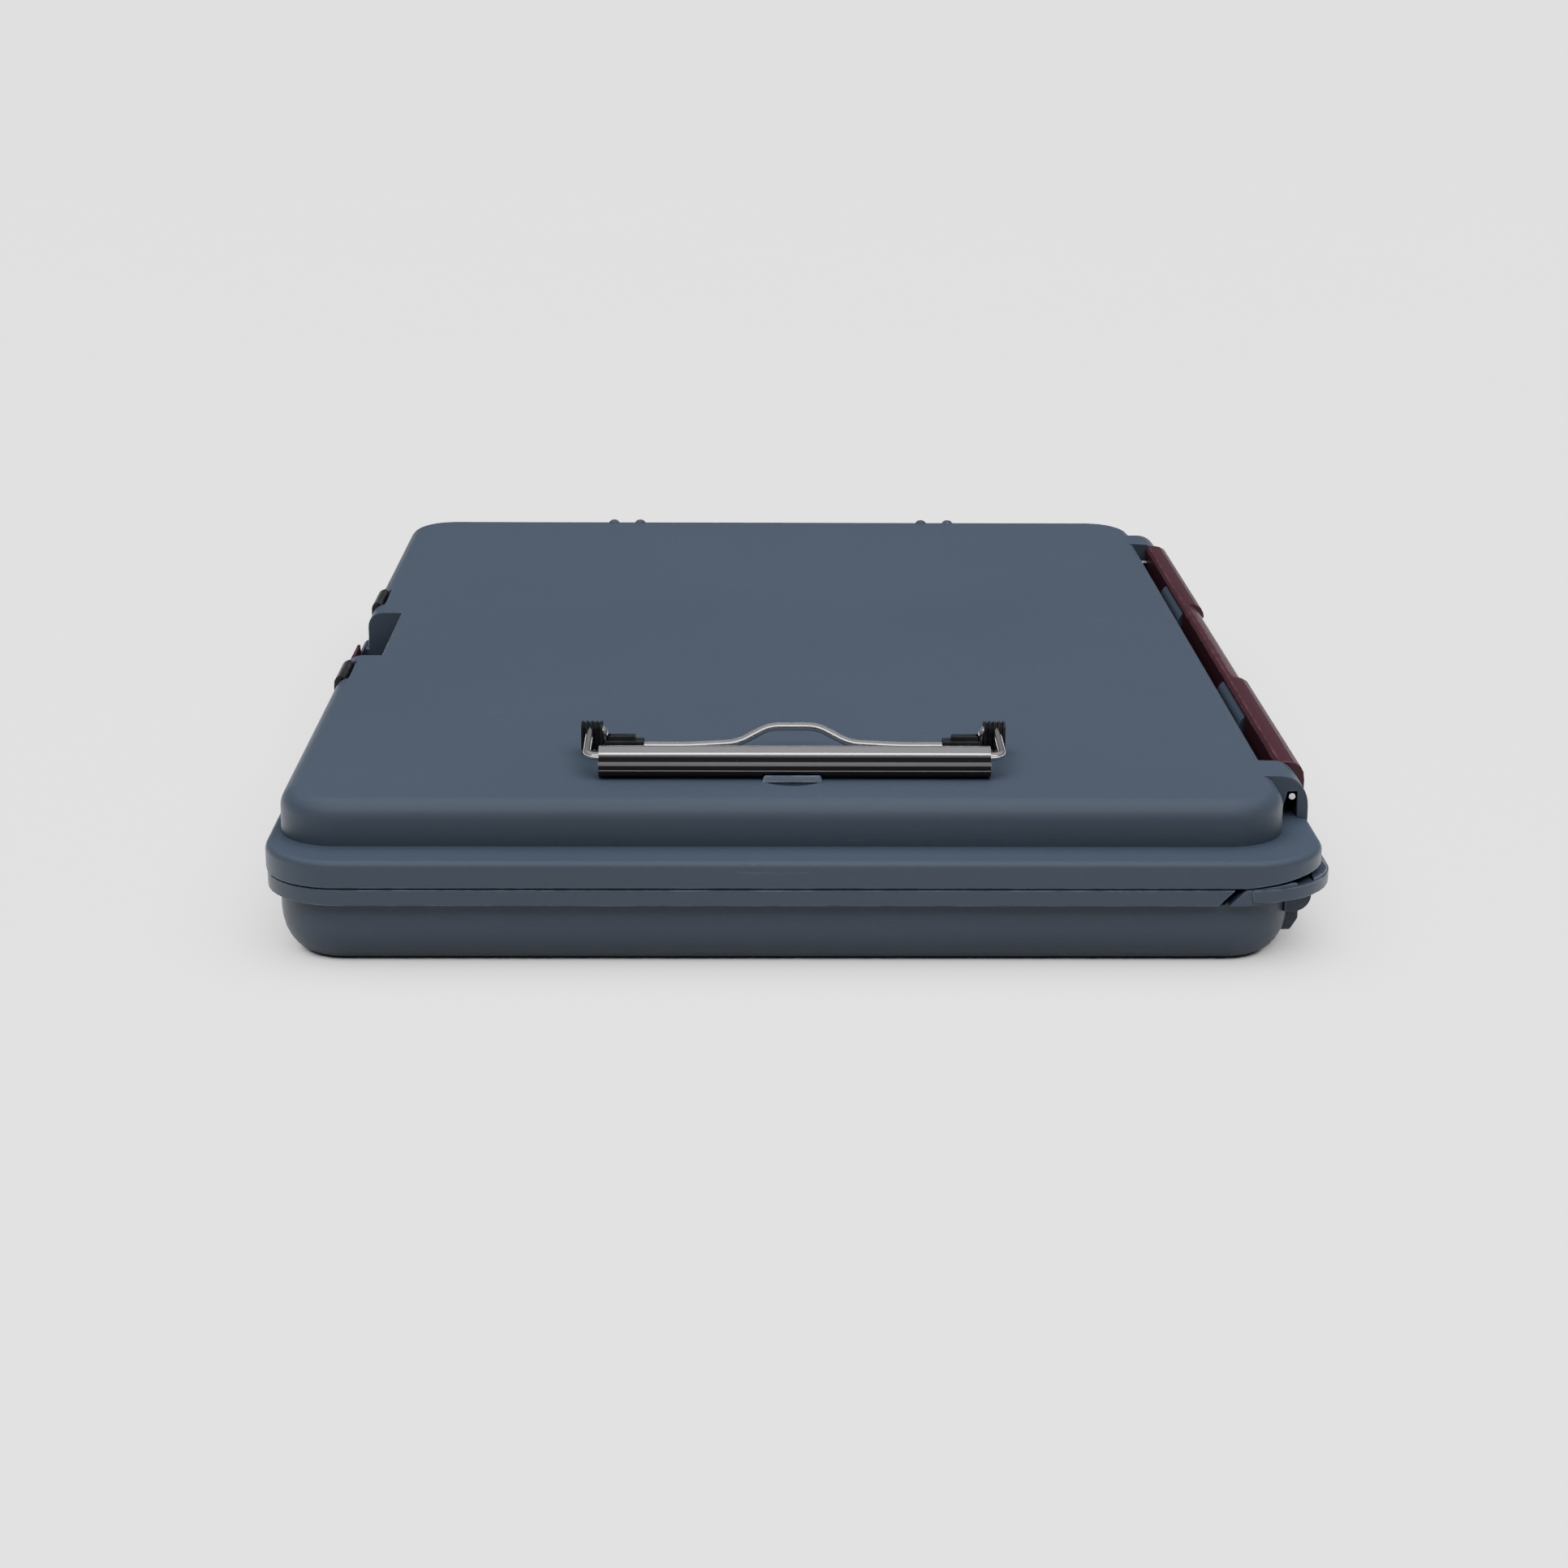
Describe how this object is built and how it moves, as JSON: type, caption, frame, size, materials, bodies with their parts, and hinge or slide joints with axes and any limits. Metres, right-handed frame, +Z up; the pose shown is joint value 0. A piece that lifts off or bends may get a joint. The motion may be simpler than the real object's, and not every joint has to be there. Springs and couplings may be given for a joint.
{
  "type": "storage clipboard",
  "caption": "Hinged plastic storage clipboard with a base tray, an inner tray, a lid, swing latches and a low wire clip for paper.",
  "frame": {"origin": "middle of the bounding box, on the surface the closed clipboard lies on", "axes": "+X to the hinge side, +Y away from the paper clip, +Z up out of the lid"},
  "size_m": [0.2558, 0.349, 0.0459],
  "materials": {
    "grey_plastic": "fine grained moulded plastic",
    "maroon_plastic": "satin moulded plastic",
    "black_plastic": "fine grained moulded plastic",
    "black_rubber": "matt moulded rubber",
    "clip_steel": "bright drawn nickel-plated steel",
    "pin_steel": "plain drawn steel"
  },
  "bodies": {
    "base": {"base_tray": "grey_plastic", "base_pin_front": "pin_steel", "base_pin_rear": "pin_steel", "latch_pin_front": "pin_steel", "latch_pin_rear": "pin_steel"},
    "tray": {"inner_tray": "maroon_plastic", "lid_pin_front": "pin_steel", "lid_pin_rear": "pin_steel"},
    "lid": {"lid_shell": "grey_plastic", "clip_plate": "clip_steel", "clip_rivet_left": "clip_steel", "clip_rivet_right": "clip_steel"},
    "latch_front": {"latch_front": "black_plastic"},
    "latch_rear": {"latch_rear": "black_plastic"},
    "clip_bail": {"clip_wire": "clip_steel", "grip_corner_left": "black_rubber", "grip_corner_right": "black_rubber", "grip_pad_left": "black_rubber", "grip_pad_right": "black_rubber"}
  },
  "joints": [
    {"name": "tray_hinge", "type": "hinge", "parent": "base", "child": "tray", "pos_m": [0.1212, 0, 0.0325], "axis": [0, 1, 0], "range_deg": [0, 80]},
    {"name": "lid_hinge", "type": "hinge", "parent": "tray", "child": "lid", "pos_m": [0.1212, 0, 0.0325], "axis": [0, 1, 0], "range_deg": [0, 100]},
    {"name": "latch_front_swing", "type": "hinge", "parent": "base", "child": "latch_front", "pos_m": [-0.1245, -0.0384, 0.0178], "axis": [0, -1, 0], "range_deg": [0, 90]},
    {"name": "latch_rear_swing", "type": "hinge", "parent": "base", "child": "latch_rear", "pos_m": [-0.1245, 0.048, 0.0178], "axis": [0, -1, 0], "range_deg": [0, 90]},
    {"name": "clip_lift", "type": "hinge", "parent": "lid", "child": "clip_bail", "pos_m": [-0.0009, -0.1406, 0.043], "axis": [1, 0, 0], "range_deg": [0, 100], "stiffness_Nm_per_rad": 0.06, "springref_deg": -34.38}
  ]
}
